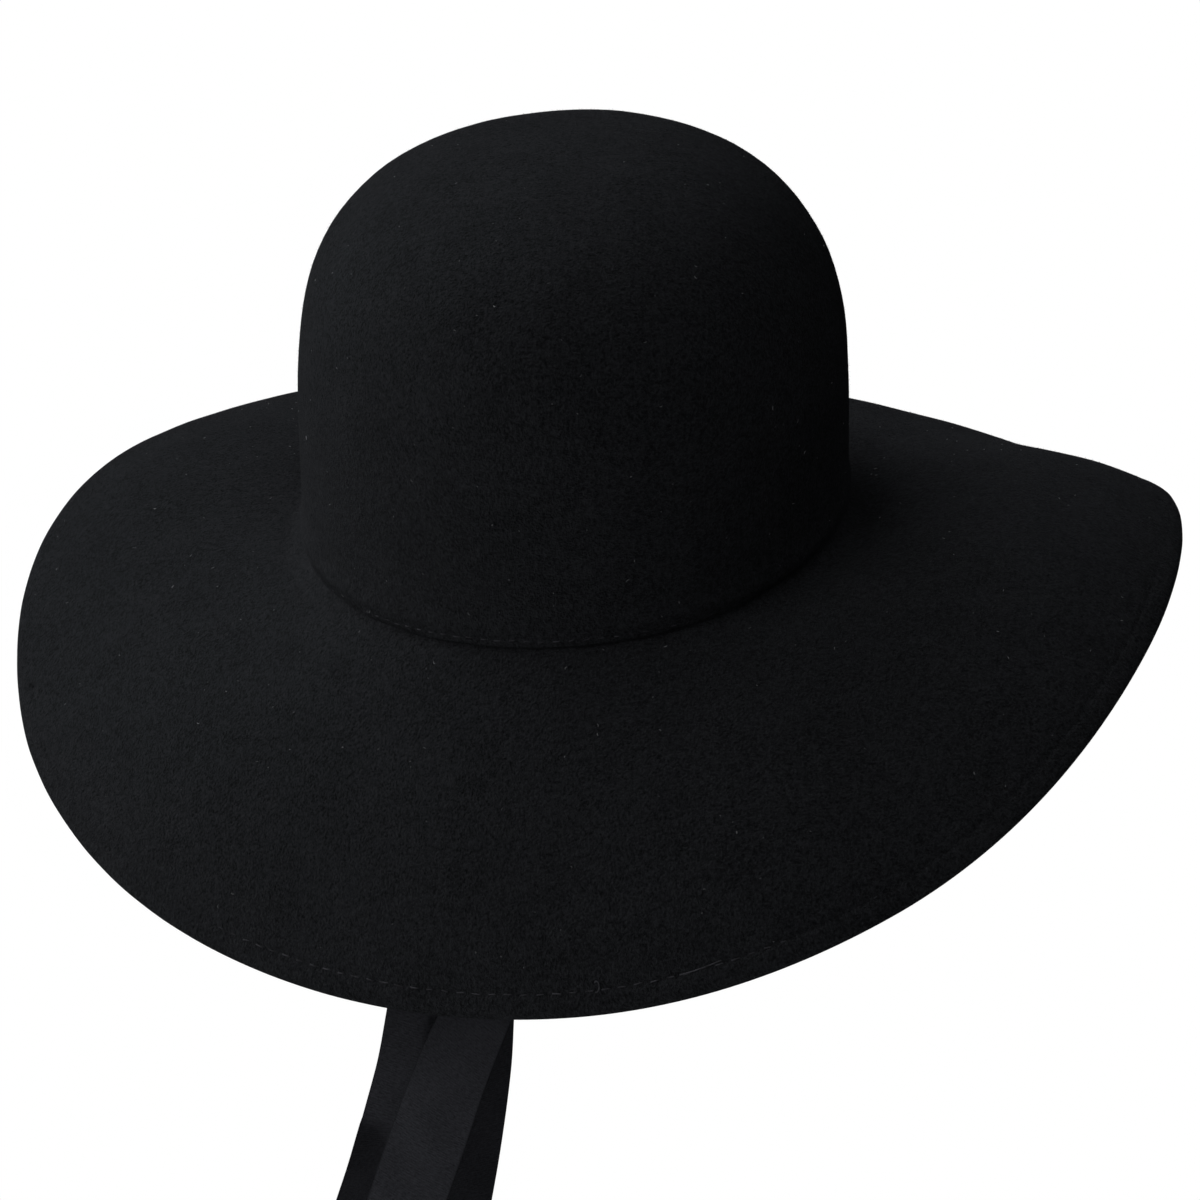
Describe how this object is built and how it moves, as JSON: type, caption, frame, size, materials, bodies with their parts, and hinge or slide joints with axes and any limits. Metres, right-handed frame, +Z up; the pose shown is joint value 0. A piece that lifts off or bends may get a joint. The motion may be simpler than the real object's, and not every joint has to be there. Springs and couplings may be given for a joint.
{
  "type": "floppy hat",
  "caption": "Floppy hat in black wool felt, with a domed crown, a wide drooping brim with a sewn edge, a sweatband and hanging ribbon ties.",
  "frame": {"origin": "middle of the head opening, level with the line where the crown meets the brim, where a head carries the hat", "axes": "+Z up through the crown, -Y to the back where the ties hang, +X to the right as seen from the back"},
  "size_m": [0.3686, 0.3687, 0.3456],
  "materials": {
    "felt": "black wool felt, matt, with a short mottled nap and a little pale lint",
    "sweatband": "black grosgrain ribbon with fine cross ribs",
    "ribbon": "black woven ribbon with a soft sheen"
  },
  "bodies": {
    "root": {"felt_body": "felt", "sweatband": "sweatband", "ribbon_tie_middle": "ribbon", "ribbon_tie_left": "ribbon", "ribbon_tie_right": "ribbon"}
  },
  "joints": []
}
